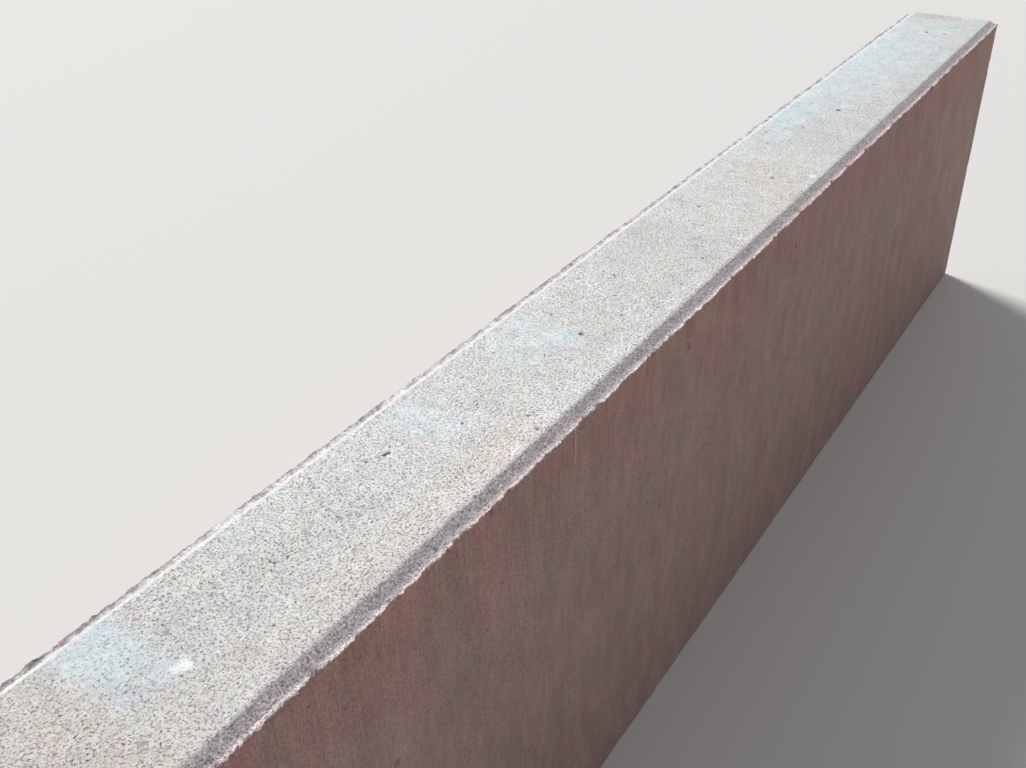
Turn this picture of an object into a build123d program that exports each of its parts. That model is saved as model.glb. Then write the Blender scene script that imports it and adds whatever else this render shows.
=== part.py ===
"""A one-piece concrete edging kerb, standing on its bed face the way it is laid.

+X runs along the kerb, +Y points from the paving side to the garden side and +Z is up.
The origin is the centre of the bed face. All sizes are in millimetres.
"""

from build123d import *
import os

# Overall size of one stone
LENGTH = 1000.0  # from one butt end to the other
WIDTH = 80.0  # from the paving face to the garden face
HEIGHT = 250.0  # from the bed face to the top face

# Worked edge along both sides of the top: a chamfer, then a narrow level land
CHAMFER_WIDTH = 4.0  # across the kerb
CHAMFER_DEPTH = 2.5  # drop from the top face to the land
LAND_WIDTH = 3.0  # from the foot of the chamfer to the side face


def half_outline():
    """Corners of the garden half of the section, from the bed up to the top face."""
    side = WIDTH / 2
    chamfer_foot = side - LAND_WIDTH
    chamfer_head = chamfer_foot - CHAMFER_WIDTH
    land_level = HEIGHT - CHAMFER_DEPTH
    return [
        (side, 0),
        (side, land_level),
        (chamfer_foot, land_level),
        (chamfer_head, HEIGHT),
    ]


def section():
    """The whole section across the kerb. The paving half mirrors the garden half."""
    garden_half = half_outline()
    paving_half = [(-across, up) for across, up in reversed(garden_half)]
    outline = Polyline(*garden_half, *paving_half, close=True)
    return Plane.YZ * make_face(outline)


def kerb_stone():
    """The cast stone: its section carried half the length each way, with plain square ends."""
    stone = extrude(section(), amount=LENGTH / 2, both=True)
    stone.label = "kerb_stone"
    return stone


os.makedirs("parts", exist_ok=True)
export_step(kerb_stone(), "parts/kerb_stone.step")
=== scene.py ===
"""The finish of a concrete kerb stone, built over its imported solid.

The stone is one closed mesh that stands for the solid. Its surfaces are laid out finely, with a
row for each point round the section and a column for each step along the stone. They are then
roughened, worn and pitted, and thinned out to a set number of triangles, which leaves the most
of them at the ragged edges and the pits. What is finer than that is in the material. Lengths
on the stone are in millimetres, in its material too, and all others are in metres.
"""

import math
from types import SimpleNamespace

import bpy
import numpy as np
from mathutils import Matrix, Vector


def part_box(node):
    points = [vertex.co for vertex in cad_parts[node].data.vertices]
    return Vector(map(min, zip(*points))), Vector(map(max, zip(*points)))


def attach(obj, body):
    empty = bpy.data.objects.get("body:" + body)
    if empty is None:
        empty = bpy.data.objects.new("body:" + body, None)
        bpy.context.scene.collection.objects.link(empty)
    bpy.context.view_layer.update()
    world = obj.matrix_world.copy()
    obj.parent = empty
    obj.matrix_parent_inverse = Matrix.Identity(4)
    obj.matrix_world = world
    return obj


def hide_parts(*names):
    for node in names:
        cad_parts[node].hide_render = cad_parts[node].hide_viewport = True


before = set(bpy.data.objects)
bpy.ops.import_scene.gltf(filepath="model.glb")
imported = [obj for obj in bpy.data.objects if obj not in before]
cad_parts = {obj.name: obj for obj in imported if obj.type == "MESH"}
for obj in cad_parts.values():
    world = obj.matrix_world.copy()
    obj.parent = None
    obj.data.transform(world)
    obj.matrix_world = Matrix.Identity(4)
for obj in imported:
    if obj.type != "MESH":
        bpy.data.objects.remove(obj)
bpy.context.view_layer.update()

MM = 0.001  # metres in a millimetre

# The stone as it stands: overall sizes from the solid, edge sizes as cast
low, high = (np.array(corner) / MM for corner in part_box("kerb_stone"))
LENGTH, WIDTH, HEIGHT = high - low
CHAMFER_WIDTH = 4.0
CHAMFER_DEPTH = 2.5
LAND_WIDTH = 3.0
HALF_LENGTH = LENGTH / 2
SIDE = WIDTH / 2
CHAMFER_FOOT = SIDE - LAND_WIDTH
CHAMFER_HEAD = CHAMFER_FOOT - CHAMFER_WIDTH
LAND_LEVEL = HEIGHT - CHAMFER_DEPTH

# The land is not flat: the chamfer runs on into a groove, and the edge stands up as a ragged lip
GROOVE_DEPTH = 0.12
LIP_HEIGHT = 0.15
LIP_REACH = 0.8
LIP_CREST = 0.5  # in from the side

# On the paving side the edge is worn further back, and its lip is wider, up to the first place,
# and they are as usual from the second place on
WORN_UP_TO = -425.0
USUAL_FROM = -385.0

# How strong the sand grain is on each surface
TOP_GRAIN = 0.045
EDGE_GRAIN = 0.09
SIDE_GRAIN = 0.03

# How many pits lie at random on the top and on each side, and the depth at which a pit's painted
# shade is darkest
TOP_PITS = 12
SIDE_PITS = 150
DARKEST_DEPTH = 0.6

# How finely each surface is laid out before it is thinned out
END_STEPS = np.array([0.0, 0.15, 0.35])
END_MARGIN = 0.5  # the even steps begin this far in from each end
ALONG_STEP = 0.5
TOP_STEP = 0.5
CHAMFER_STEP = 0.45
LAND_STEP = 0.3
SIDE_STEP = 0.45
SIDE_STEP_GROWTH = 0.05
SIDE_STEP_MOST = 6.0
BED_STEP = 5.0

# How near points are that become one, how many triangles are left, and how far an edge turns
# where it is shaded as sharp
WELD_DISTANCE = 0.02
TRIANGLES = 190_000
SHARP_ANGLE = math.radians(28)

SEED = 7

# Pits that show on their own: place along, place across, radius
SEEN_PITS = (
    (-374.7, 6.7, 0.7),
    (-374.2, 4.8, 0.8),
    (-377.9, 3.1, 0.6),
    (-312.0, 15.5, 0.8),
    (-304.5, 12.3, 1.0),
    (-302.6, 12.0, 0.8),
    (-270.5, -1.0, 0.8),
    (-251.5, -21.0, 0.8),
    (-181.0, -5.5, 1.1),
    (-172.5, 16.0, 0.7),
    (-119.5, 11.0, 0.7),
    (-78.0, -19.5, 0.9),
    (-16.0, 11.5, 1.0),
    (46.5, -9.0, 1.0),
    (144.0, 8.5, 1.0),
    (192.0, 0.0, 1.5),
    (432.5, 4.5, 1.4),
    (433.0, -11.0, 1.2),
)

# Stains and other patches on the top: place along, place across, half length, half width, strength
LIME_PATCHES = (
    (-436, 19, 12, 24, 0.8),
    (-278, 12, 11, 16, 0.5),
    (-198, 16, 20, 18, 0.45),
    (-190, 10, 2, 22, 0.9),
    (128, 16, 14, 9, 0.6),
    (165, 24, 26, 10, 0.8),
    (330, 12, 60, 16, 0.35),
)
RUST_PATCHES = (
    # this patch warms the near end of the top
    (-478, 0, 30, 45, 0.8),
    (-375, -24, 75, 9, 0.5),
    (-283, -25, 32, 9, 0.7),
    (-3, -26, 30, 9, 0.5),
    (44, -8, 15, 17, 0.8),
    (75, -24, 5, 5, 0.9),
    (302, 0, 7, 7, 0.9),
    (420, -26, 60, 7, 0.4),
    (496, 12, 16, 20, 0.9),
)
PALE_PATCHES = (
    (25, 5, 75, 40, 0.2),
    (-32, 8, 3, 30, 0.3),
    (12, 27, 22, 10, 0.3),
    (80, 24, 14, 12, 0.3),
    (285, 29, 90, 6, 0.2),
    (425, 28, 40, 6, 0.2),
    (-250, -28, 70, 6, 0.2),
)
DULL_PATCHES = (
    (-395, 4, 70, 14, 0.22),
    # this patch darkens the near end of the top
    (-476, 4, 24, 40, 0.3),
    (-165, -10, 55, 14, 0.15),
    (-82, 2, 30, 26, 0.15),
    (140, 14, 8, 4, 0.5),
    (172, 14, 7, 4, 0.4),
    (320, -25, 70, 8, 0.15),
    (490, 14, 14, 22, 0.4),
)

# White crusts on the top: place along, place across, half length, half width
CRUSTS = (
    (-423.7, -4.6, 2.5, 3.2),
    (-426.8, -3.5, 1.6, 1.9),
    (61.5, -28.5, 2.6, 1.8),
)


# Repeatable noise

def lattice(ix, iy, seed):
    """A repeatable random angle for each whole-number point."""
    mask = np.uint64(0xFFFFFFFF)
    h = ix.astype(np.uint64) * np.uint64(374761393) + iy.astype(np.uint64) * np.uint64(668265263)
    h = (h + np.uint64(seed * 974634777 + 12345)) & mask
    h = ((h ^ (h >> np.uint64(13))) * np.uint64(1103515245)) & mask
    h = ((h ^ (h >> np.uint64(16))) * np.uint64(2246822519)) & mask
    h = h ^ (h >> np.uint64(15))
    return h.astype(np.float64) * (2 * math.pi / 2**32)


def noise(u, v, seed):
    """Smooth noise from about -1 to 1 with cells one unit wide. Each seed is another pattern."""
    u = np.asarray(u, float) + 5000.5
    v = np.asarray(v, float) + 5000.5
    u, v = np.broadcast_arrays(u, v)
    iu, iv = np.floor(u), np.floor(v)
    fu, fv = u - iu, v - iv
    ease_u = fu**3 * (fu * (fu * 6 - 15) + 10)
    ease_v = fv**3 * (fv * (fv * 6 - 15) + 10)

    def corner(du, dv):
        angle = lattice(iu + du, iv + dv, seed + SEED)
        return np.cos(angle) * (fu - du) + np.sin(angle) * (fv - dv)

    below = corner(0, 0) * (1 - ease_u) + corner(1, 0) * ease_u
    above = corner(0, 1) * (1 - ease_u) + corner(1, 1) * ease_u
    return 1.5 * (below * (1 - ease_v) + above * ease_v)


def layered(u, v, cell, seed, layers=3, fall=0.5):
    """Noise with finer layers added, each half as wide and fall times as strong."""
    total = 0.0
    for i in range(layers):
        total = total + fall**i * noise(u / cell * 2**i, v / cell * 2**i, seed + 31 * i)
    return total


def fade(distance, reach):
    """One at an edge, falling to nothing over about twice the reach."""
    return np.exp(-((distance / reach) ** 2))


def ease(value, start, end):
    """Rises smoothly from 0 to 1 as value goes from start to end, or falls if end is less."""
    t = np.clip((value - start) / (end - start), 0, 1)
    return t * t * (3 - 2 * t)


# The grid that the stone is laid out on

def steps(start, end, first, growth=0.0, most=None):
    """Places from start to end whose steps begin with first and grow from there."""
    most = most or first
    places, step = [0.0], first
    while places[-1] < abs(end - start):
        places.append(places[-1] + step)
        step = min(most, first + growth * places[-1])
    places = np.array(places) * abs(end - start) / places[-1]
    return start + np.sign(end - start) * places


def section_outline():
    """Points round the section, anticlockwise seen from the far end."""
    up = steps(LAND_LEVEL, 0.0, SIDE_STEP, SIDE_STEP_GROWTH, SIDE_STEP_MOST)[::-1]
    land = steps(SIDE, CHAMFER_FOOT, LAND_STEP)
    chamfer = np.linspace(0, 1, int(CHAMFER_WIDTH / CHAMFER_STEP) + 2)
    half = [(SIDE, z) for z in up[:-1]]
    half += [(y, LAND_LEVEL) for y in land[:-1]]
    half += [
        (CHAMFER_FOOT - CHAMFER_WIDTH * t, LAND_LEVEL + CHAMFER_DEPTH * t) for t in chamfer[:-1]
    ]
    top = [(y, HEIGHT) for y in steps(CHAMFER_HEAD, -CHAMFER_HEAD, TOP_STEP)]
    bed = [(y, 0.0) for y in steps(-SIDE, SIDE, BED_STEP)[1:-1]]
    other_half = [(-y, z) for y, z in reversed(half)]
    return np.array(half + top + other_half + bed)


def outward(points):
    """Unit normals of a closed outline that runs anticlockwise."""
    before = points - np.roll(points, 1, 0)
    after = np.roll(points, -1, 0) - points
    before /= np.linalg.norm(before, axis=1)[:, None]
    after /= np.linalg.norm(after, axis=1)[:, None]
    along = before + after
    normal = np.stack([along[:, 1], -along[:, 0]], 1)
    return normal / np.linalg.norm(normal, axis=1)[:, None]


class Layout:
    """The even grid: places along and round the stone, and which surface each row lies on."""

    def __init__(self):
        outline = section_outline()
        normals = outward(outline)
        inside = HALF_LENGTH - END_MARGIN
        middle = steps(-inside, inside, ALONG_STEP)
        x = np.concatenate([-HALF_LENGTH + END_STEPS, middle, HALF_LENGTH - END_STEPS[::-1]])
        round_section = np.cumsum(np.r_[0, np.linalg.norm(np.diff(outline, axis=0), axis=1)])
        self.x = x[None, :]
        self.s = round_section[:, None]
        self.y, self.z = outline[:, :1], outline[:, 1:]
        self.normal_y, self.normal_z = normals[:, :1], normals[:, 1:]
        self.across = np.abs(self.y)
        self.side_of = np.where(self.y > 0, 1.0, -1.0)
        self.on_top = self.z > HEIGHT - 1e-6
        self.on_side = self.across > SIDE - 1e-6
        self.on_land = (self.across > CHAMFER_FOOT - 1e-6) & (np.abs(self.z - LAND_LEVEL) < 1e-6)
        self.under = (self.z < 1e-6) & ~self.on_side
        self.worked = (self.z > LAND_LEVEL - 1e-6) & ~self.on_top  # chamfer and land


# What is done to it

def open_pits(at):
    """Depth of the pits: a few small ones on the top, and more and wider ones on each side."""
    rng = np.random.default_rng(SEED)
    depth = np.zeros((len(at.s), at.x.shape[1]))
    columns, rows = at.x[0], at.s[:, 0]

    def sink(at_x, at_s, radius, deep):
        c0, c1 = np.searchsorted(columns, [at_x - 2 * radius, at_x + 2 * radius])
        r0, r1 = np.searchsorted(rows, [at_s - 2 * radius, at_s + 2 * radius])
        if c0 == c1 or r0 == r1:
            return
        dx = columns[c0:c1][None, :] - at_x
        ds = rows[r0:r1][:, None] - at_s
        uneven = 1 + 0.45 * noise(np.arctan2(ds, dx) * 1.3, at_x, 41)
        bowl = deep * np.exp(-((np.hypot(dx, ds) / (radius * uneven)) ** 4))
        depth[r0:r1, c0:c1] = np.maximum(depth[r0:r1, c0:c1], bowl)

    top_rows = rows[at.on_top[:, 0]]
    top_middle = (top_rows[0] + top_rows[-1]) / 2
    for along, across, radius in SEEN_PITS:
        sink(along, top_middle - across, radius, 0.8 * radius)
    for _ in range(TOP_PITS):
        radius = rng.uniform(0.4, 0.6)
        place = rng.uniform(top_rows[0], top_rows[-1])
        along = rng.uniform(columns[0], columns[-1])
        sink(along, place, radius, radius * rng.uniform(0.5, 0.9))
    for side_rows in np.split(rows[at.on_side[:, 0]], 2):
        for _ in range(SIDE_PITS):
            radius = rng.uniform(0.5, 1.2) * (1 + rng.random() ** 7)
            place = rng.uniform(side_rows[0], side_rows[-1])
            along = rng.uniform(columns[0], columns[-1])
            sink(along, place, radius, radius * rng.uniform(0.3, 0.65))
    return depth


def land_relief(at, sign):
    """How far one land stands above or below its level, in its groove and ragged lip."""
    inward = SIDE - at.across
    crest = LIP_CREST + 0.25 * noise(at.x / 8, sign * 4.0, 25)
    swell = 0.5 * noise(at.x / 21, sign * 2.0, 26)
    ragged = 0.6 * layered(at.x, sign * 3.0, 5.0, 27, 3, 0.8)
    height = LIP_HEIGHT * np.clip(0.9 + swell + ragged, 0.1, 1.8)
    lip = height * fade(inward - crest, LIP_REACH)
    start = 1.35 + 0.55 * noise(at.x / 37, sign * 6.0, 36) + 0.3 * noise(at.x / 7, sign * 8.0, 37)
    groove = -GROOVE_DEPTH * ease(inward, start, start + 0.9) * ease(inward, LAND_WIDTH, 2.4)
    crumbs = 0.24 * layered(at.x, at.s, 1.6, 28 + int(sign), 2, 0.7)
    return lip + groove + crumbs


def bite(at, sign):
    """How far the outer edge of one land has crumbled back, or stands out where it is negative."""
    x = at.x
    wander = 0.4 * noise(x / 31, sign * 5.0, 20) + 0.7 * noise(x / 9, sign * 9.0, 21)
    teeth = 0.75 * noise(x / 3.7, sign * 13.0, 22) + 0.45 * noise(x / 1.6, sign * 17.0, 19)
    chips = 1.3 * np.clip(noise(x / 12, sign * 19.0, 23) - 0.6, 0, None) / 0.4
    if sign < 0:  # the paving side, which crumbles more
        much, back = 1.0, 0.6 * ease(x, USUAL_FROM, WORN_UP_TO) - 0.15
    else:
        much, back = 0.45, 0.4
    return much * (np.maximum(wander + teeth + back, -0.75) + chips)


def stone_grid(at):
    """Places of the roughened grid, and the depth of its pits."""
    x, s, z, across = at.x, at.s, at.z, at.across
    pits = open_pits(at)
    drop = np.clip(LAND_LEVEL - z, 0, None)
    inward = SIDE - across
    on_side = at.on_side.astype(float)

    # sand grain, low swells, and on the sides the mould's long drag marks
    grain = np.where(at.on_top, TOP_GRAIN, np.where(at.worked, EDGE_GRAIN, SIDE_GRAIN))
    sand = layered(x, s, 2.6, 1, 3, 0.8) * grain
    swell = 0.10 * noise(x / 45, s / 30, 5) + 0.06 * noise(x / 14, s / 12, 6)
    drag = 0.03 * noise(x / 1.7, s / 60, 8) + 0.04 * noise(x / 6, s / 120, 9)
    mould = 0.2 * noise(x / 110, s / 90, 10)
    away = sand + swell + on_side * (drag + mould) - 0.1 - pits
    away = np.where(at.under, -0.05 - 0.3 * np.abs(layered(x, s, 9.0, 12)), away)
    offset_x = np.zeros_like(away)
    offset_y = at.normal_y * away
    offset_z = at.normal_z * away

    for sign in (1, -1):
        here = (at.side_of == sign) & (z > HEIGHT / 2)
        offset_z = offset_z + land_relief(at, sign) * (at.on_land & here)
        gone = bite(at, sign)
        rough = 1 + 0.5 * noise(x / 1.6, s / 1.3, 24)
        reach = 0.45 + 1.3 * np.abs(gone)
        near = np.where(at.on_land, fade(inward, reach), on_side * fade(drop, reach + 0.3)) * here
        offset_y = offset_y - sign * gone * rough * near
        offset_z = offset_z - 0.5 * np.maximum(gone, 0.0) * near
        head = fade(across - CHAMFER_HEAD, 0.8) * here
        offset_y = offset_y - sign * 0.22 * layered(x, sign * 21.0, 3.0, 29, 2, 0.8) * head
        offset_z = offset_z - 0.12 * head

    # worn square edges: the bed's long edges and the edges of both ends
    bed_edge = np.where(at.under, inward, np.where(at.on_side, z, np.inf))
    wear = np.clip(0.5 + 0.35 * layered(x, 0.0, 12.0, 30), 0.1, None) * fade(bed_edge, 1.4)
    offset_y = offset_y - at.side_of * wear * 0.7
    offset_z = offset_z + wear * 0.7
    for sign in (1, -1):
        to_end = HALF_LENGTH - sign * x
        worn = np.clip(0.45 + 0.35 * layered(s, sign * 7.0, 8.0, 33), 0.12, None)
        chip = 1.6 * np.clip(noise(s / 11, sign * 4.0, 35) - 0.6, 0, None) / 0.4
        back = 0.6 * (worn + chip) * fade(to_end, 0.9 + 0.6 * chip)
        offset_x = offset_x - sign * back
        offset_y = offset_y - at.normal_y * back
        offset_z = offset_z - at.normal_z * back

    places = np.broadcast_arrays(x + offset_x, at.y + offset_y, np.maximum(z + offset_z, 0.0))
    return np.stack(places, -1), pits


def end_rings(edge, sign):
    """Rings that close one end, from its edge to the middle line of the face."""
    y, z = edge[:, 1], edge[:, 2]
    middle_y = np.zeros_like(y)
    middle_z = np.clip(z, SIDE, HEIGHT - SIDE)
    rings = []
    for t in steps(0.0, 1.0, 0.012, 0.12, 0.06)[1:]:
        ring_y = y * (1 - t) + middle_y * t
        ring_z = z * (1 - t) + middle_z * t
        gap = np.hypot(ring_y - y, ring_z - z)
        relief = 0.1 * layered(ring_y, ring_z, 4.0, 50 + sign)
        relief = relief + 0.15 * noise(ring_y / 40, ring_z / 50, 52)
        flat = sign * (HALF_LENGTH - 0.2 + np.clip(relief, -0.4, 0.2))
        ring_x = flat + (edge[:, 0] - flat) * fade(gap, 1.0)
        rings.append(np.stack([ring_x, ring_y, ring_z], 1))
    return np.stack(rings, 1)


# Stains on the top, and a painted sky reflection on its far half, kept on the mesh for the
# material to read

def patched(x, y, patches, soft, seed):
    """The strongest of some soft-edged patches at each place."""
    x = x + 2.5 * layered(x, y, 9.0, seed)
    y = y + 2.5 * layered(x, y, 9.0, seed + 1)
    total = np.zeros(np.broadcast_shapes(x.shape, y.shape))
    for along, across, half_length, half_width, strength in patches:
        in_length = ease(np.abs(x - along), half_length + soft, half_length - soft)
        in_width = ease(np.abs(y - across), half_width + soft, half_width - soft)
        total = np.maximum(total, strength * in_length * in_width)
    return total


def stains(at):
    """How limy (painted sky reflection included), how rusty and how pale each place is: the last
    is 0.5 where it is as usual.
    """
    x, y = at.x, at.y
    # painted sky reflection, kept with the lime: the top turns bluer towards its far end, as seen
    # at a grazing angle
    wide = 0.72 * ease(x + 3.2 * y, 90, 300) * (1 - 0.3 * ease(x, 360, 430))
    wide = wide + 0.08 * ease(y, -10, 35)
    lime_and_sky_sheen = wide + patched(x, y, LIME_PATCHES, 4.0, 60) + 0.22 * layered(x, y, 26.0, 62, 3, 0.7)
    rust = patched(x, y, RUST_PATCHES, 4.0, 64) + 0.25 * layered(x, y, 20.0, 66, 3, 0.7)
    pale = 0.48 + 0.03 * ease(y, -30, 30) + 0.11 * layered(x, y, 15.0, 68, 4, 0.8)
    pale = pale + 0.5 * patched(x, y, PALE_PATCHES, 1.5, 70)
    pale = pale - 0.5 * patched(x, y, DULL_PATCHES, 4.0, 72)
    return {"lime_and_sky_sheen": np.clip(lime_and_sky_sheen, 0, 1), "rust": np.clip(rust, 0, 1), "pale": np.clip(pale, 0, 1)}


# The mesh

def kerb_mesh():
    """The closed fine mesh of the stone, in metres."""
    at = Layout()
    body, pits = stone_grid(at)
    near = end_rings(body[:, 0], -1)[:, ::-1]
    far = end_rings(body[:, -1], 1)
    grid = np.concatenate([near, body, far], 1) * MM
    rows, columns = grid.shape[:2]
    index = np.arange(rows * columns).reshape(rows, columns)
    above = np.roll(index, -1, 0)
    quads = np.stack([index[:, :-1], above[:, :-1], above[:, 1:], index[:, 1:]], -1).reshape(-1, 4)
    mesh = bpy.data.meshes.new("kerb_stone_finish")
    mesh.vertices.add(rows * columns)
    mesh.vertices.foreach_set("co", grid.reshape(-1).astype(np.float32))
    mesh.loops.add(quads.size)
    mesh.loops.foreach_set("vertex_index", quads.reshape(-1).astype(np.int32))
    mesh.polygons.add(len(quads))
    mesh.polygons.foreach_set("loop_start", np.arange(0, quads.size, 4, dtype=np.int32))
    mesh.update(calc_edges=True)
    ends = ((0, 0), (near.shape[1], far.shape[1]))
    # the pit depth is kept for the painted shade in the pits
    for name, values in {"pit_shade": pits / DARKEST_DEPTH, **stains(at)}.items():
        whole = np.pad(np.broadcast_to(values, body.shape[:2]), ends, mode="edge")
        layer = mesh.attributes.new(name, "FLOAT", "POINT")
        layer.data.foreach_set("value", np.clip(whole, 0, 1).reshape(-1).astype(np.float32))
    return mesh


def thinned(mesh, triangles):
    """A new mesh with at most that many triangles, welded shut."""
    stone = bpy.data.objects.new("fine_stone", mesh)
    bpy.context.scene.collection.objects.link(stone)
    weld = stone.modifiers.new("weld", "WELD")
    weld.merge_threshold = WELD_DISTANCE * MM
    thin = stone.modifiers.new("thin", "DECIMATE")
    thin.ratio = triangles / (2 * len(mesh.polygons))
    evaluated = stone.evaluated_get(bpy.context.evaluated_depsgraph_get())
    result = bpy.data.meshes.new_from_object(evaluated)
    bpy.data.objects.remove(stone)
    bpy.data.meshes.remove(mesh)
    return result


# The map for baked colours, in pixels, and the scale of its surfaces, in pixels a millimetre
MAP_SIZE = 1024
MAP_MARGIN = 12
MAP_GAP = 6
TOP_SCALE = 2.0
PLAIN_SCALE = 1.0


def lay_flat(mesh):
    """Lays each surface flat on a map for baked colours, the top larger than the rest."""
    count = len(mesh.polygons)
    centre = np.empty(count * 3)
    normal = np.empty(count * 3)
    mesh.polygons.foreach_get("center", centre)
    mesh.polygons.foreach_get("normal", normal)
    x, y, z = centre.reshape(-1, 3).T / MM
    nx, ny, nz = normal.reshape(-1, 3).T
    across = np.abs(y)
    top_line = HEIGHT - np.clip((across - CHAMFER_HEAD) / CHAMFER_WIDTH, 0, 1) * CHAMFER_DEPTH
    turn = 2.0  # how much the way a face points counts beside how deep it lies
    depths = np.stack([
        top_line - z - turn * nz,
        SIDE + y + turn * ny,
        SIDE - y - turn * ny,
        z + turn * nz,
        HALF_LENGTH + x + turn * nx,
        HALF_LENGTH - x - turn * nx,
    ])
    surface = depths.argmin(0)
    top_near, top_far = (surface == 0) & (x < 0), (surface == 0) & (x >= 0)

    corner = np.empty(len(mesh.loops), np.int32)
    mesh.loops.foreach_get("vertex_index", corner)
    places = np.empty(len(mesh.vertices) * 3)
    mesh.vertices.foreach_get("co", places)
    x, y, z = places.reshape(-1, 3)[corner].T / MM
    sides = np.empty(count, np.int32)
    mesh.polygons.foreach_get("loop_total", sides)

    along, over, up = x + HALF_LENGTH, y + SIDE, z
    layouts = (
        (top_near, along, over, TOP_SCALE, WIDTH),
        (top_far, x, over, TOP_SCALE, WIDTH),
        (surface == 1, along, up, PLAIN_SCALE, HEIGHT),
        (surface == 2, along, up, PLAIN_SCALE, HEIGHT),
        (surface == 3, along, over, PLAIN_SCALE, WIDTH),
        (surface == 4, up, over, PLAIN_SCALE, WIDTH),
        (surface == 5, up + HEIGHT + 4 * MAP_GAP, over, PLAIN_SCALE, 0.0),
    )
    uv = np.zeros((len(corner), 2))
    base = float(MAP_GAP)
    for faces, flat_u, flat_v, scale, height in layouts:
        chosen = np.repeat(faces, sides)
        uv[chosen, 0] = MAP_MARGIN + scale * flat_u[chosen]
        if height:
            row = base
            base += scale * height + MAP_GAP
        uv[chosen, 1] = row + scale * flat_v[chosen]
    layer = mesh.uv_layers.new(name="OFBake")
    layer.uv.foreach_set("vector", (uv / MAP_SIZE).reshape(-1).astype(np.float32))


def make_kerb():
    """The finished stone as an object, without its material."""
    mesh = thinned(kerb_mesh(), TRIANGLES)
    mesh.name = "kerb_stone_finish"
    mesh.polygons.foreach_set("use_smooth", np.ones(len(mesh.polygons), bool))
    mesh.set_sharp_from_angle(angle=SHARP_ANGLE)
    lay_flat(mesh)
    kerb = bpy.data.objects.new("kerb_stone_finish", mesh)
    bpy.context.scene.collection.objects.link(kerb)
    return kerb


# Material

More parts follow.
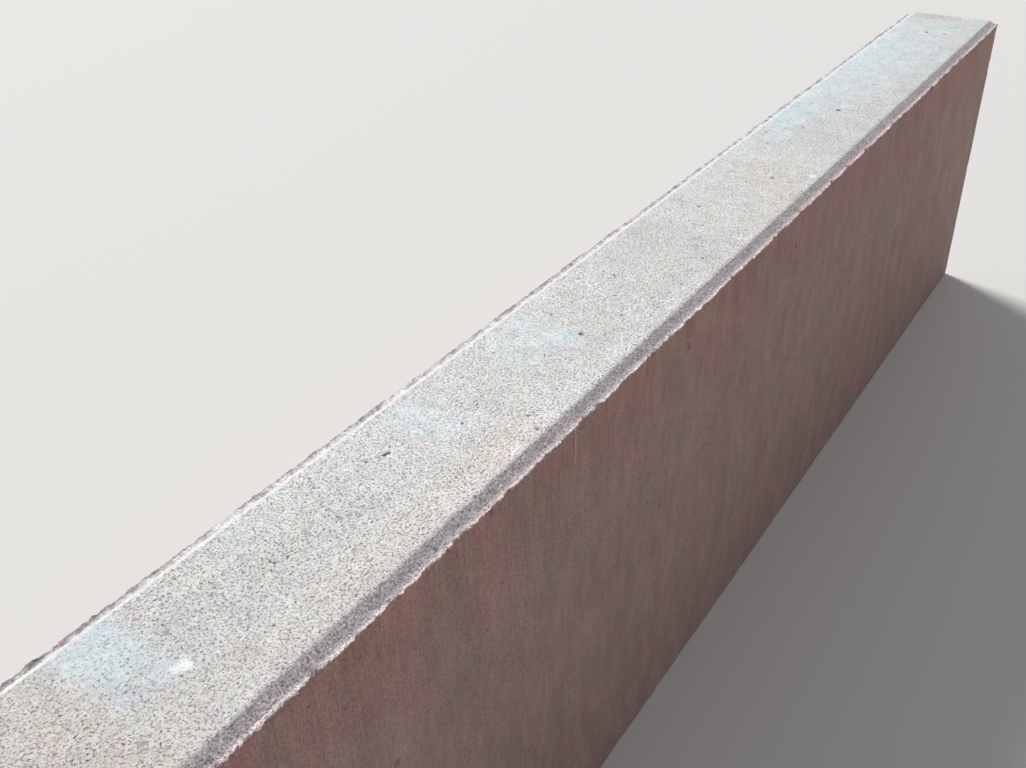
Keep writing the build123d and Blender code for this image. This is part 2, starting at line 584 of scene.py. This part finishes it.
class Graph:
    """Short names for the nodes a material is made of. Values may be numbers or sockets."""

    def __init__(self, material):
        material.use_nodes = True
        self.tree = material.node_tree
        self.shader = self.tree.nodes["Principled BSDF"]

    def node(self, kind, values=(), **settings):
        """A new node, with values for its sockets by name or number."""
        made = self.tree.nodes.new(kind)
        for name, setting in settings.items():
            setattr(made, name, setting)
        for place, value in dict(values).items():
            self.set(made.inputs[place], value)
        return made

    def set(self, socket, value):
        """Links a socket to another one, or gives it a number or a colour."""
        if isinstance(value, bpy.types.NodeSocket):
            self.tree.links.new(value, socket)
        else:
            socket.default_value = value

    def math(self, operation, a, b=0.0):
        return self.node("ShaderNodeMath", {0: a, 1: b}, operation=operation).outputs[0]

    def vector(self, operation, a, b):
        return self.node("ShaderNodeVectorMath", {0: a, 1: b}, operation=operation).outputs[0]

    def ramp(self, value, start, end, to_start=0.0, to_end=1.0, shape="SMOOTHSTEP"):
        """Eases from to_start to to_end as value goes from start to end."""
        values = {"Value": value, "From Min": start, "From Max": end}
        values |= {"To Min": to_start, "To Max": to_end}
        made = self.node("ShaderNodeMapRange", values, interpolation_type=shape)
        return made.outputs["Result"]

    def between(self, mask, off, on):
        """Eases from off where the mask is 0 to on where it is 1."""
        return self.ramp(mask, 0.0, 1.0, off, on)

    def level(self, noise, spread):
        """A level round 1 from noise round a half, which reaches 1 - spread and 1 + spread."""
        swing = self.ramp(noise, 0.2, 0.8, -1.0, 1.0, "LINEAR")
        return self.math("ADD", 1.0, self.math("MULTIPLY", swing, spread))

    def both(self, *masks):
        """The product of some masks or levels."""
        total = masks[0]
        for mask in masks[1:]:
            total = self.math("MULTIPLY", total, mask)
        return total

    def mix(self, share, a, b, blend="MIX"):
        """Colour a where share is 0, and b, blended with it, where share is 1."""
        made = self.node("ShaderNodeMix", data_type="RGBA", blend_type=blend)
        for socket, value in zip((made.inputs[0], made.inputs[6], made.inputs[7]), (share, a, b)):
            self.set(socket, value)
        return made.outputs[2]

    def lit(self, colour, *levels):
        """A colour made darker or lighter by some levels, where 1 leaves it as it is."""
        level = self.both(*levels)
        grey = self.node("ShaderNodeCombineColor", {0: level, 1: level, 2: level}).outputs[0]
        return self.mix(1.0, colour, grey, "MULTIPLY")

    def moved(self, place, shift, stretch=(1, 1, 1)):
        """The place for a pattern that is moved by shift and drawn out by stretch."""
        scale = tuple(1 / s for s in stretch)
        values = {"Vector": place, "Location": shift, "Scale": scale}
        return self.node("ShaderNodeMapping", values).outputs["Vector"]

    def noise(self, place, cell, detail, rough, shift, stretch=(1, 1, 1), result="Fac"):
        """Noise round a half with cells of that many millimetres. Each shift is another one."""
        place = self.moved(place, (shift, shift * 1.7, shift * 0.6), stretch)
        values = {"Vector": place, "Scale": 1 / cell, "Detail": detail, "Roughness": rough}
        return self.node("ShaderNodeTexNoise", values).outputs[result]

    def speckle(self, place, cell, detail, rough, shift):
        """Noise of a different colour at each place, grey on average."""
        return self.noise(place, cell, detail, rough, shift, result="Color")

    def pores(self, place, cell, share, shift):
        """Round pores of many sizes, one in a share of the cells: 1 inside a pore, 0 outside."""
        place = self.moved(place, (shift, shift * 1.3, shift * 0.8))
        found = self.node("ShaderNodeTexVoronoi", {"Vector": place, "Scale": 1 / cell})
        chance = self.node("ShaderNodeSeparateColor", {0: found.outputs["Color"]}).outputs[0]
        radius = self.ramp(chance, 1 - share, 1.0, 0.0, 0.45)
        inner = self.math("MULTIPLY", radius, 0.45)
        return self.ramp(found.outputs["Distance"], self.math("ADD", radius, 0.001), inner)

    def spot(self, along, across, uneven, where):
        """1 inside an uneven spot and 0 outside it. Its place and half sizes are in where."""
        place_along, place_across, half_length, half_width = where
        over = self.math("DIVIDE", self.math("SUBTRACT", along, place_along), half_length)
        beside = self.math("DIVIDE", self.math("SUBTRACT", across, place_across), half_width)
        both_ways = self.node("ShaderNodeCombineXYZ", {0: over, 1: beside}).outputs[0]
        length = self.node("ShaderNodeVectorMath", {0: both_ways}, operation="LENGTH")
        return self.ramp(self.math("ADD", length.outputs["Value"], uneven), 1.1, 0.8)

    def attribute(self, name):
        """A number that is kept on the mesh."""
        return self.node("ShaderNodeAttribute", attribute_name=name).outputs["Fac"]


def srgb(red, green, blue):
    """A colour written as seen on screen, from 0 to 255, as the linear colour nodes take."""
    def linear(level):
        level = level / 255
        return level / 12.92 if level <= 0.04045 else ((level + 0.055) / 1.055) ** 2.4
    return (linear(red), linear(green), linear(blue), 1.0)


# Colours of the top
BARE_TOP = srgb(221, 221, 220)
# the lime colours also paint the sky reflection on the far half of the top
BLUE_LIME_AND_SHEEN = srgb(214, 222, 230)
GREEN_LIME_AND_SHEEN = srgb(211, 226, 229)
RUSTY_TOP = srgb(225, 211, 202)
WHITE_CRUST = srgb(245, 249, 247)

# Colours of the chamfers, lands and lips
# painted shade: the paving chamfer and land, facing away from the light, are darker; the land
# partly also dirt
PAVING_CHAMFER_SHADED = srgb(206, 197, 200)
PAVING_LAND_SHADE_AND_DIRT = srgb(180, 171, 175)
PAVING_LIP = srgb(222, 210, 208)
# the garden chamfer's far colour is bluer as painted sky reflection
GARDEN_CHAMFER_NEAR = srgb(218, 218, 218)
GARDEN_CHAMFER_FAR = srgb(208, 219, 225)
GARDEN_LAND_NEAR = srgb(196, 191, 194)
GARDEN_LAND_FAR = srgb(215, 210, 212)
# the garden lip is darker, partly painted shade on its flank away from the light, partly soil
# stain
GARDEN_LIP_SHADE_AND_SOIL = srgb(168, 155, 160)

# Colours of the sides, the ends and the bed
# the paving side is redder than the garden side, most near its top: partly its own red-brown,
# partly painted reddish light reflected from red paving beside it
PAVING_SIDE_RED = srgb(173, 134, 128)
PAVING_SIDE_BROWN = srgb(164, 136, 127)
PAVING_SIDE_LOW_RED = srgb(171, 141, 135)
PAVING_SIDE_LOW_BROWN = srgb(165, 141, 134)
GARDEN_SIDE = srgb(176, 154, 148)
ENDS_AND_BED = srgb(181, 165, 160)

# How the concrete takes the light
ROUGHNESS = 0.92
SPECULAR = 0.3
BUMP_STRENGTH = 0.8
BUMP_HEIGHT = 0.25


def surfaces(g):
    """Where a point is, and a mask for each surface: 1 on it and 0 off it."""
    object_place = g.node("ShaderNodeTexCoord").outputs["Object"]
    place = g.vector("MULTIPLY", object_place, (1 / MM,) * 3)
    along, y, up = g.node("ShaderNodeSeparateXYZ", {0: place}).outputs
    across = g.math("ABSOLUTE", y)
    wobble = g.math("MULTIPLY", g.math("SUBTRACT", g.noise(place, 1.3, 3, 0.7, shift=3), 0.5), 2.2)
    ragged_across = g.math("ADD", across, wobble)
    top = g.both(
        g.ramp(ragged_across, CHAMFER_HEAD + 0.5, CHAMFER_HEAD + 0.15),
        g.ramp(up, HEIGHT - 2.4, HEIGHT - 2.1),
    )

    # the chamfer and the land, with teeth that run a little way down the side
    teeth = g.ramp(g.noise(place, 1.6, 1, 0.7, shift=11, stretch=(1, 1, 2)), 0.4, 0.7, -0.1, 1.0)
    outside = g.ramp(g.math("ADD", up, teeth), LAND_LEVEL - 0.45, LAND_LEVEL - 0.2)
    inside = g.both(
        g.ramp(across, SIDE - 0.5, SIDE - 0.8),
        g.ramp(up, LAND_LEVEL - 1.4, LAND_LEVEL - 1.0),
    )
    edge = g.math("MAXIMUM", outside, inside)
    land = g.ramp(
        g.math("ADD", across, g.math("MULTIPLY", wobble, 0.3)),
        CHAMFER_FOOT - 0.2,
        CHAMFER_FOOT + 0.2,
    )

    # the lip, from some way in from the side out to it
    lip_from = g.ramp(g.noise(place, 7.0, 2, 0.6, shift=13), 0.3, 0.7, SIDE - 1.5, SIDE - 0.6)
    lip_from = g.math("ADD", lip_from, g.ramp(along, WORN_UP_TO, USUAL_FROM, -0.9, 0.0))
    lip = g.both(g.ramp(g.math("SUBTRACT", ragged_across, lip_from), -0.1, 0.5), edge)

    to_end = g.math("ABSOLUTE", g.math("ADD", along, wobble))
    end = g.ramp(to_end, HALF_LENGTH - 2.0, HALF_LENGTH - 0.8)
    bed = g.ramp(g.math("ADD", up, wobble), 1.5, 0.5)
    return SimpleNamespace(
        place=place, along=along, across=across, y=y, up=up, wobble=wobble,
        top=top, edge=edge, land=land, lip=lip,
        garden=g.ramp(y, -1.0, 1.0),
        end_or_bed=g.math("MAXIMUM", end, bed),
    )


def grains(g, place):
    """Patterns that surfaces share: sand, gaps like worms in it, pores and wide patches."""
    crumbled = g.math("SUBTRACT", g.noise(place, 0.7, 1, 0.6, shift=19), 0.5)
    stirred = g.vector("ADD", place, crumbled)
    return SimpleNamespace(
        sand=g.noise(place, 1.0, 2, 0.9, shift=5),
        worms=g.ramp(g.noise(place, 1.2, 2, 0.7, shift=17), 0.41, 0.31),
        small_pores=g.pores(stirred, 1.5, 0.7, shift=21),
        large_pores=g.pores(stirred, 3.4, 0.1, shift=23),
        patchy=g.noise(place, 9.0, 2, 0.75, shift=71),
    )


def top_finish(g, at, grain):
    """The bleached top, its stains and a painted far sky reflection. Its sand is boldest on the
    nearer half.
    """
    # the lime here also holds the painted sky reflection on the far half
    lime_and_sky_sheen = g.attribute("lime_and_sky_sheen")
    lime_and_sheen_colour = g.mix(g.ramp(grain.patchy, 0.42, 0.58), BLUE_LIME_AND_SHEEN, GREEN_LIME_AND_SHEEN)
    colour = g.mix(lime_and_sky_sheen, BARE_TOP, lime_and_sheen_colour)
    colour = g.mix(g.both(g.attribute("rust"), 0.55), colour, RUSTY_TOP)
    bold = g.both(g.ramp(at.along, -450.0, -330.0), g.ramp(at.along, -20.0, -140.0))
    darkest = g.ramp(lime_and_sky_sheen, 0.0, 0.95, g.between(bold, -0.35, -0.7), 0.52)
    lightest = g.between(bold, 1.16, 1.28)
    return g.lit(
        colour,
        g.ramp(grain.sand, 0.15, 0.56, darkest, lightest),
        g.level(g.noise(at.place, 3.4, 2, 0.9, shift=29), 0.18),
        g.between(grain.worms, 1.0, g.ramp(grain.patchy, 0.35, 0.65, 0.75, 0.45)),
        g.between(grain.small_pores, 1.0, 0.7),
        g.between(grain.large_pores, 1.0, 0.6),
        g.ramp(g.attribute("pale"), 0.0, 1.0, 0.71, 1.15, "LINEAR"),
        g.ramp(at.across, CHAMFER_HEAD - 2.2, CHAMFER_HEAD + 0.6, 1.0, 0.88),
    )


def edge_finish(g, at, grain):
    """The chamfers and lands, mauve and painted darker as shade on the paving side and paler on
    the garden side, and lips.
    """
    fine = g.noise(at.place, 0.85, 2, 0.9, shift=51)
    wide = g.noise(at.place, 5.0, 2, 0.8, shift=55)
    from_head = g.math("ABSOLUTE", g.math("SUBTRACT", at.across, CHAMFER_HEAD + 0.7))
    paving_light = g.both(
        g.level(fine, 1.2),
        g.level(wide, 0.22),
        g.between(grain.worms, 1.0, 0.8),
        g.between(g.ramp(from_head, 0.7, 0.2), 1.0, 0.88),
    )
    garden_light = g.both(g.level(fine, 0.5), g.level(wide, g.between(at.land, 0.1, 0.7)))
    light = g.between(at.garden, paving_light, garden_light)

    # painted shade: the paving chamfer and land are coloured darker
    paving_edge = g.mix(at.land, PAVING_CHAMFER_SHADED, PAVING_LAND_SHADE_AND_DIRT)
    # painted sky reflection: the garden chamfer turns bluer towards the far end
    garden_chamfer = g.mix(g.ramp(at.along, -20, 160), GARDEN_CHAMFER_NEAR, GARDEN_CHAMFER_FAR)
    garden_land = g.mix(g.ramp(at.along, -440, -370), GARDEN_LAND_NEAR, GARDEN_LAND_FAR)
    garden_edge = g.mix(at.land, garden_chamfer, garden_land)
    edge = g.mix(at.garden, paving_edge, garden_edge)
    # the garden lip's colour is partly painted shade, partly soil stain
    lip = g.mix(at.garden, PAVING_LIP, GARDEN_LIP_SHADE_AND_SOIL)
    return g.lit(edge, light), g.lit(lip, light)


def side_finish(g, at, grain):
    """The streaked red-brown sides, the paving side with one pale drip, and the ends and bed."""
    blotch = g.noise(at.place, 55, 3, 0.6, shift=37)
    blotched_up = g.math("ADD", at.up, g.math("MULTIPLY", blotch, 60))
    # painted reflected light: the paving side is redder near its top, partly its own colour,
    # partly reddish light from red paving beside it
    near_top = g.ramp(blotched_up, LAND_LEVEL - 50, LAND_LEVEL + 30)
    brown = g.ramp(g.noise(at.place, 17.0, 3, 0.7, shift=39, stretch=(1, 1, 1.6)), 0.44, 0.6)
    upper_side = g.mix(brown, PAVING_SIDE_RED, PAVING_SIDE_BROWN)
    lower_side = g.mix(brown, PAVING_SIDE_LOW_RED, PAVING_SIDE_LOW_BROWN)
    paving_side = g.mix(near_top, lower_side, upper_side)
    colour = g.mix(at.garden, paving_side, GARDEN_SIDE)
    colour = g.mix(at.end_or_bed, colour, ENDS_AND_BED)

    from_drip = g.math("ADD", at.along, g.ramp(grain.patchy, 0.3, 0.7, 244.0, 246.0))
    drip = g.both(
        g.ramp(g.math("ABSOLUTE", from_drip), 1.1, 0.3),
        g.ramp(at.up, LAND_LEVEL - 45, LAND_LEVEL - 5),
        g.ramp(at.y, 1.0, -1.0),
    )
    streak = g.noise(at.place, 1.0, 2, 0.65, shift=31, stretch=(1, 1, 22))
    weathered = g.noise(at.place, 12.0, 3, 0.7, shift=33, stretch=(1, 1, 2.5))
    return g.lit(
        colour,
        g.level(streak, g.between(near_top, 0.12, 0.2)),
        g.level(weathered, 0.18),
        g.level(g.noise(at.place, 1.0, 2, 0.7, shift=43), 0.4),
        g.between(grain.small_pores, 1.0, 0.85),
        g.between(grain.large_pores, 1.0, 0.75),
        g.between(drip, 1.0, 1.25),
    )


def concrete_material():
    """Cast concrete: a bleached sandy top, mauve chamfers and lips, red-brown sides, and painted
    light and shade in places.
    """
    material = bpy.data.materials.new("concrete")
    g = Graph(material)
    at = surfaces(g)
    grain = grains(g, at.place)
    edge, lip = edge_finish(g, at, grain)
    colour = side_finish(g, at, grain)
    colour = g.mix(at.edge, colour, edge)
    colour = g.mix(at.lip, colour, lip)
    colour = g.mix(at.top, colour, top_finish(g, at, grain))
    tint = g.between(at.top, 0.12, 0.3)
    colour = g.mix(tint, colour, g.speckle(at.place, 5.0, 2, 0.7, shift=61), "SOFT_LIGHT")

    uneven = g.math("MULTIPLY", at.wobble, 0.8)
    crust_colour = g.lit(WHITE_CRUST, g.level(grain.sand, 0.35))
    for where in CRUSTS:
        crust = g.both(g.spot(at.along, at.y, uneven, where), at.top)
        colour = g.mix(crust, colour, crust_colour)
    # painted shade: pits are coloured darker by their depth, most on the top
    pit_shade = g.ramp(g.attribute("pit_shade"), 0.15, 0.9)
    colour = g.lit(colour, g.between(pit_shade, 1.0, g.between(at.top, 0.75, 0.4)))
    g.set(g.shader.inputs["Base Color"], colour)
    g.set(g.shader.inputs["Roughness"], ROUGHNESS)
    g.set(g.shader.inputs["Specular IOR Level"], SPECULAR)

    height = g.math("SUBTRACT", grain.sand, g.math("MULTIPLY", grain.worms, 0.9))
    values = {"Height": height, "Strength": BUMP_STRENGTH, "Distance": BUMP_HEIGHT * MM}
    g.set(g.shader.inputs["Normal"], g.node("ShaderNodeBump", values).outputs[0])
    return material


kerb = make_kerb()
kerb.data.materials.clear()
kerb.data.materials.append(concrete_material())
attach(kerb, "root")
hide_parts("kerb_stone")


# Floor, light and camera

FLOOR_SIZE = 24
FLOOR_COLOUR = (0.75, 0.745, 0.735, 1)
BACKDROP_COLOUR = (0.78, 0.77, 0.755, 1)  # strength 1, so that it looks as pale as the floor
SKY_COLOUR = (0.95, 0.97, 1.0, 1)
SKY_STRENGTH = 0.31
SUN_COLOUR = (1.0, 0.985, 0.96)
SUN_STRENGTH = 3.35
SUN_SPREAD = math.radians(20)
SUN_FROM = (0.3, 0.72, 0.68)

# The camera stands over the near end on the paving side, and looks along the stone and down
CAMERA_PLACE = (-0.5639, -0.2245, 0.4994)
CAMERA_HEADING = math.radians(34.01)  # from along the stone towards the garden side
CAMERA_PITCH = math.radians(32.12)  # down from level
CAMERA_ROLL = math.radians(1.52)
CAMERA_LENS = 38  # focal length in millimetres
CAMERA_NEAREST = 0.01


def make_floor():
    bpy.ops.mesh.primitive_plane_add(size=FLOOR_SIZE, location=(0, 0, 0))
    floor = bpy.context.object
    floor.name = "floor"
    paint = bpy.data.materials.new("floor")
    paint.use_nodes = True
    shader = paint.node_tree.nodes["Principled BSDF"]
    shader.inputs["Base Color"].default_value = FLOOR_COLOUR
    shader.inputs["Roughness"].default_value = 0.9
    floor.data.materials.append(paint)


def make_sky():
    """A dim sky that lights the stone from all round, behind a pale backdrop that is seen."""
    world = bpy.context.scene.world or bpy.data.worlds.new("World")
    bpy.context.scene.world = world
    world.use_nodes = True
    nodes, links = world.node_tree.nodes, world.node_tree.links
    sky = nodes["Background"]
    sky.inputs["Color"].default_value = SKY_COLOUR
    sky.inputs["Strength"].default_value = SKY_STRENGTH
    backdrop = nodes.new("ShaderNodeBackground")
    backdrop.inputs["Color"].default_value = BACKDROP_COLOUR
    ray = nodes.new("ShaderNodeLightPath")
    seen = ray.outputs["Is Camera Ray"]
    for kind in ("Is Glossy Ray", "Is Transmission Ray"):
        either = nodes.new("ShaderNodeMath")
        either.operation = "MAXIMUM"
        links.new(seen, either.inputs[0])
        links.new(ray.outputs[kind], either.inputs[1])
        seen = either.outputs[0]
    choose = nodes.new("ShaderNodeMixShader")
    links.new(seen, choose.inputs[0])
    links.new(sky.outputs[0], choose.inputs[1])
    links.new(backdrop.outputs[0], choose.inputs[2])
    links.new(choose.outputs[0], nodes["World Output"].inputs["Surface"])


def make_light():
    """A wide soft sun from behind the garden side."""
    sun = bpy.data.lights.new("key", "SUN")
    sun.energy = SUN_STRENGTH
    sun.angle = SUN_SPREAD
    sun.color = SUN_COLOUR
    key = bpy.data.objects.new("key", sun)
    key.rotation_euler = Vector(SUN_FROM).to_track_quat("Z", "Y").to_euler()
    bpy.context.scene.collection.objects.link(key)


def make_camera():
    forward = Vector((
        math.cos(CAMERA_PITCH) * math.cos(CAMERA_HEADING),
        math.cos(CAMERA_PITCH) * math.sin(CAMERA_HEADING),
        -math.sin(CAMERA_PITCH),
    ))
    level_right = Vector((math.sin(CAMERA_HEADING), -math.cos(CAMERA_HEADING), 0))
    level_up = level_right.cross(forward)
    right = level_right * math.cos(CAMERA_ROLL) - level_up * math.sin(CAMERA_ROLL)
    turned = Matrix((right, right.cross(forward), -forward)).transposed().to_4x4()
    lens = bpy.data.cameras.new("camera")
    lens.lens = CAMERA_LENS
    lens.clip_start = CAMERA_NEAREST
    camera = bpy.data.objects.new("camera", lens)
    camera.matrix_world = Matrix.Translation(Vector(CAMERA_PLACE)) @ turned
    bpy.context.scene.collection.objects.link(camera)
    bpy.context.scene.camera = camera


make_floor()
make_sky()
make_light()
make_camera()
bpy.context.scene.view_settings.view_transform = "Standard"
